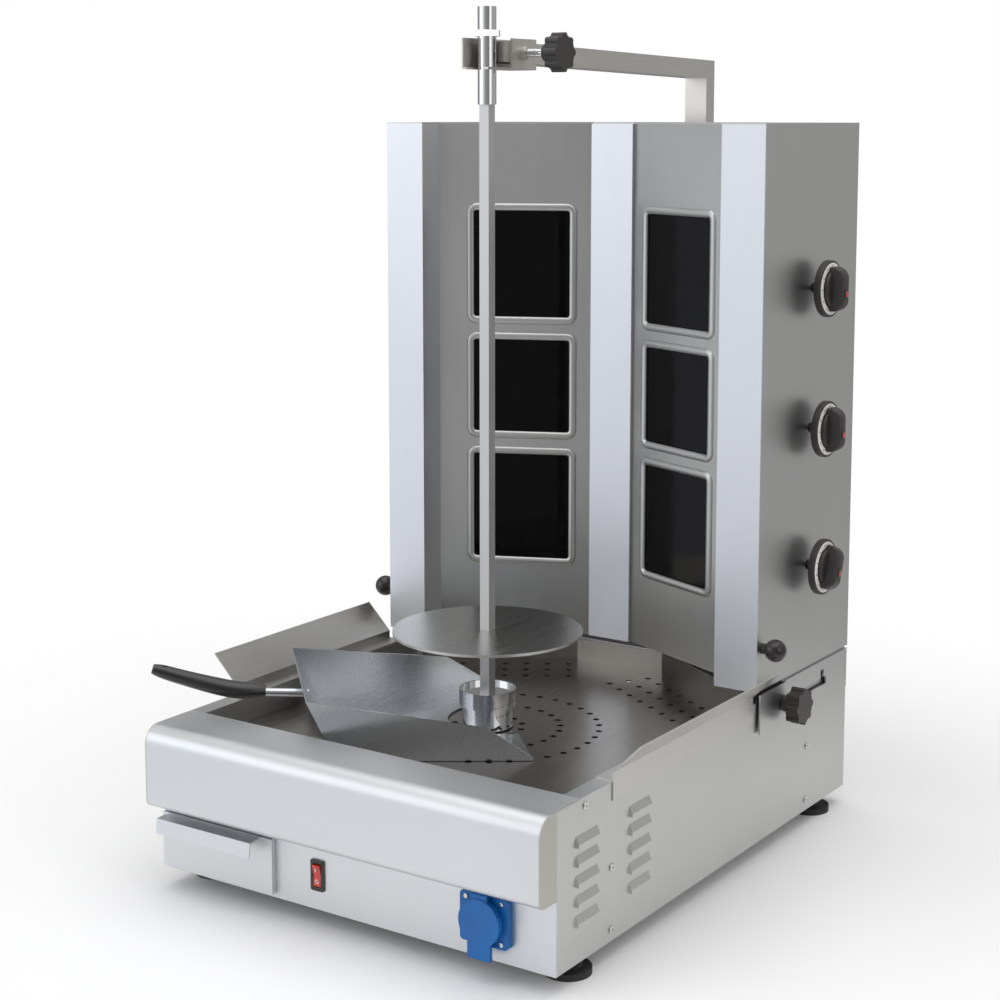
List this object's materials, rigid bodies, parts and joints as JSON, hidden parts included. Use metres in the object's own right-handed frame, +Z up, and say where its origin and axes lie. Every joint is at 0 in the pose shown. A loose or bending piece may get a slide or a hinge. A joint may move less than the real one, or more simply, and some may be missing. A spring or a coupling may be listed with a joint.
{
  "type": "vertical rotisserie oven",
  "caption": "Countertop vertical rotisserie oven: a perforated tray with a turning spit and meat plate, in front of a sliding tower of glass heater windows.",
  "frame": {"origin": "middle of the footprint, on the floor under the feet", "axes": "+Z up along the spit, the front panel faces -Y, the control knobs are on the +X side"},
  "size_m": [0.5773, 0.769, 0.942],
  "materials": {
    "brushed_casing": "brushed",
    "brushed_front": "brushed",
    "rim_end": "satin",
    "tray_steel": "brushed",
    "panel_steel": "brushed",
    "guard_steel": "brushed",
    "arm_steel": "brushed",
    "foot_rubber": "matt",
    "screw_steel": "bright",
    "black_plastic": "moulded",
    "red_plastic": "gloss",
    "blue_plastic": "moulded",
    "pale_plastic": "moulded",
    "cast_metal": "cast",
    "chrome": "plated",
    "polished_steel": "polished",
    "bar_steel": "drawn",
    "dark_glass": "smoked",
    "ceramic": "matt ceramic",
    "dark_plastic": "moulded"
  },
  "bodies": {
    "base": {"base_shell": "brushed_casing", "bottom_plate": "brushed_casing", "front_panel": "brushed_front", "front_rim": "brushed_front", "rim_ends": "rim_end", "top_deck": "brushed_casing", "perforated_plate": "tray_steel", "fat_funnel": "brushed_casing", "guard_left": "guard_steel", "guard_right": "guard_steel", "feet": "foot_rubber", "casing_screws": "screw_steel", "rocker_bezel": "black_plastic", "socket_housing": "blue_plastic", "socket_insert": "pale_plastic", "drawer_runners": "brushed_casing", "drive_motor": "cast_metal", "gearbox": "cast_metal", "spit_bearing": "cast_metal", "arm_bracket": "brushed_casing", "arm_post": "arm_steel", "arm_beam": "arm_steel", "spit_holder": "arm_steel", "cable_gland": "black_plastic", "terminal_box": "pale_plastic"},
    "drawer": {"drawer_tray": "brushed_casing", "drawer_front": "brushed_front"},
    "rocker": {"power_rocker": "red_plastic"},
    "socket_cover": {"socket_lid": "blue_plastic"},
    "spit": {"drive_shaft": "cast_metal", "spit_cup": "chrome", "spit_bar": "bar_steel", "meat_plate": "polished_steel", "spit_sleeve": "chrome"},
    "tower": {"tower_shell": "brushed_casing", "tower_top": "brushed_casing", "post_left": "brushed_front", "post_right": "brushed_front", "panel_left": "panel_steel", "panel_right": "panel_steel", "centre_post": "brushed_front", "glass_left_top": "dark_glass", "glass_left_middle": "dark_glass", "glass_left_bottom": "dark_glass", "glass_right_top": "dark_glass", "glass_right_middle": "dark_glass", "glass_right_bottom": "dark_glass", "heaters": "ceramic", "regulators": "dark_plastic", "slide_brackets": "brushed_casing", "ball_knobs": "black_plastic"},
    "top_control": {"knob_top": "black_plastic"},
    "middle_control": {"knob_middle": "black_plastic"},
    "bottom_control": {"knob_bottom": "black_plastic"},
    "right_clamp": {"clamp_knob_right": "black_plastic"},
    "left_clamp": {"clamp_knob_left": "black_plastic"},
    "arm_clamp": {"arm_knob": "black_plastic"},
    "scoop": {"scoop_blade": "polished_steel", "scoop_walls": "polished_steel", "scoop_handle": "black_plastic"}
  },
  "joints": [
    {"name": "drawer_slide", "type": "slide", "parent": "base", "child": "drawer", "axis": [0, -1, 0], "range_m": [0, 0.26]},
    {"name": "rocker_tilt", "type": "hinge", "parent": "base", "child": "rocker", "pos_m": [-0.038, -0.356, 0.057], "axis": [1, 0, 0], "range_deg": [-12, 0]},
    {"name": "socket_lid_hinge", "type": "hinge", "parent": "base", "child": "socket_cover", "pos_m": [0.173, -0.3705, 0.0885], "axis": [-1, 0, 0], "range_deg": [0, 90], "stiffness_Nm_per_rad": 0.02, "springref_deg": -28.65},
    {"name": "spit_turn", "type": "hinge", "parent": "base", "child": "spit", "pos_m": [0, -0.1045, 0.17], "axis": [0, 0, 1], "continuous": true},
    {"name": "tower_slide", "type": "slide", "parent": "base", "child": "tower", "axis": [0, -1, 0], "range_m": [0, 0.06]},
    {"name": "top_knob_turn", "type": "hinge", "parent": "tower", "child": "top_control", "pos_m": [0.2525, 0.1755, 0.635], "axis": [1, 0, 0], "range_deg": [0, 270]},
    {"name": "middle_knob_turn", "type": "hinge", "parent": "tower", "child": "middle_control", "pos_m": [0.2525, 0.1755, 0.476], "axis": [1, 0, 0], "range_deg": [0, 270]},
    {"name": "bottom_knob_turn", "type": "hinge", "parent": "tower", "child": "bottom_control", "pos_m": [0.2525, 0.1755, 0.317], "axis": [1, 0, 0], "range_deg": [0, 270]},
    {"name": "right_clamp_turn", "type": "hinge", "parent": "base", "child": "right_clamp", "pos_m": [0.256, 0.1155, 0.169], "axis": [1, 0, 0], "range_deg": [0, 360]},
    {"name": "left_clamp_turn", "type": "hinge", "parent": "base", "child": "left_clamp", "pos_m": [-0.256, 0.1155, 0.169], "axis": [-1, 0, 0], "range_deg": [0, 360]},
    {"name": "arm_clamp_turn", "type": "hinge", "parent": "base", "child": "arm_clamp", "pos_m": [0.04, -0.0595, 0.894], "axis": [1, 0, 0], "range_deg": [0, 360]},
    {"name": "scoop_lift", "type": "slide", "parent": "base", "child": "scoop", "axis": [0, 0, 1], "range_m": [0, 0.025]}
  ]
}
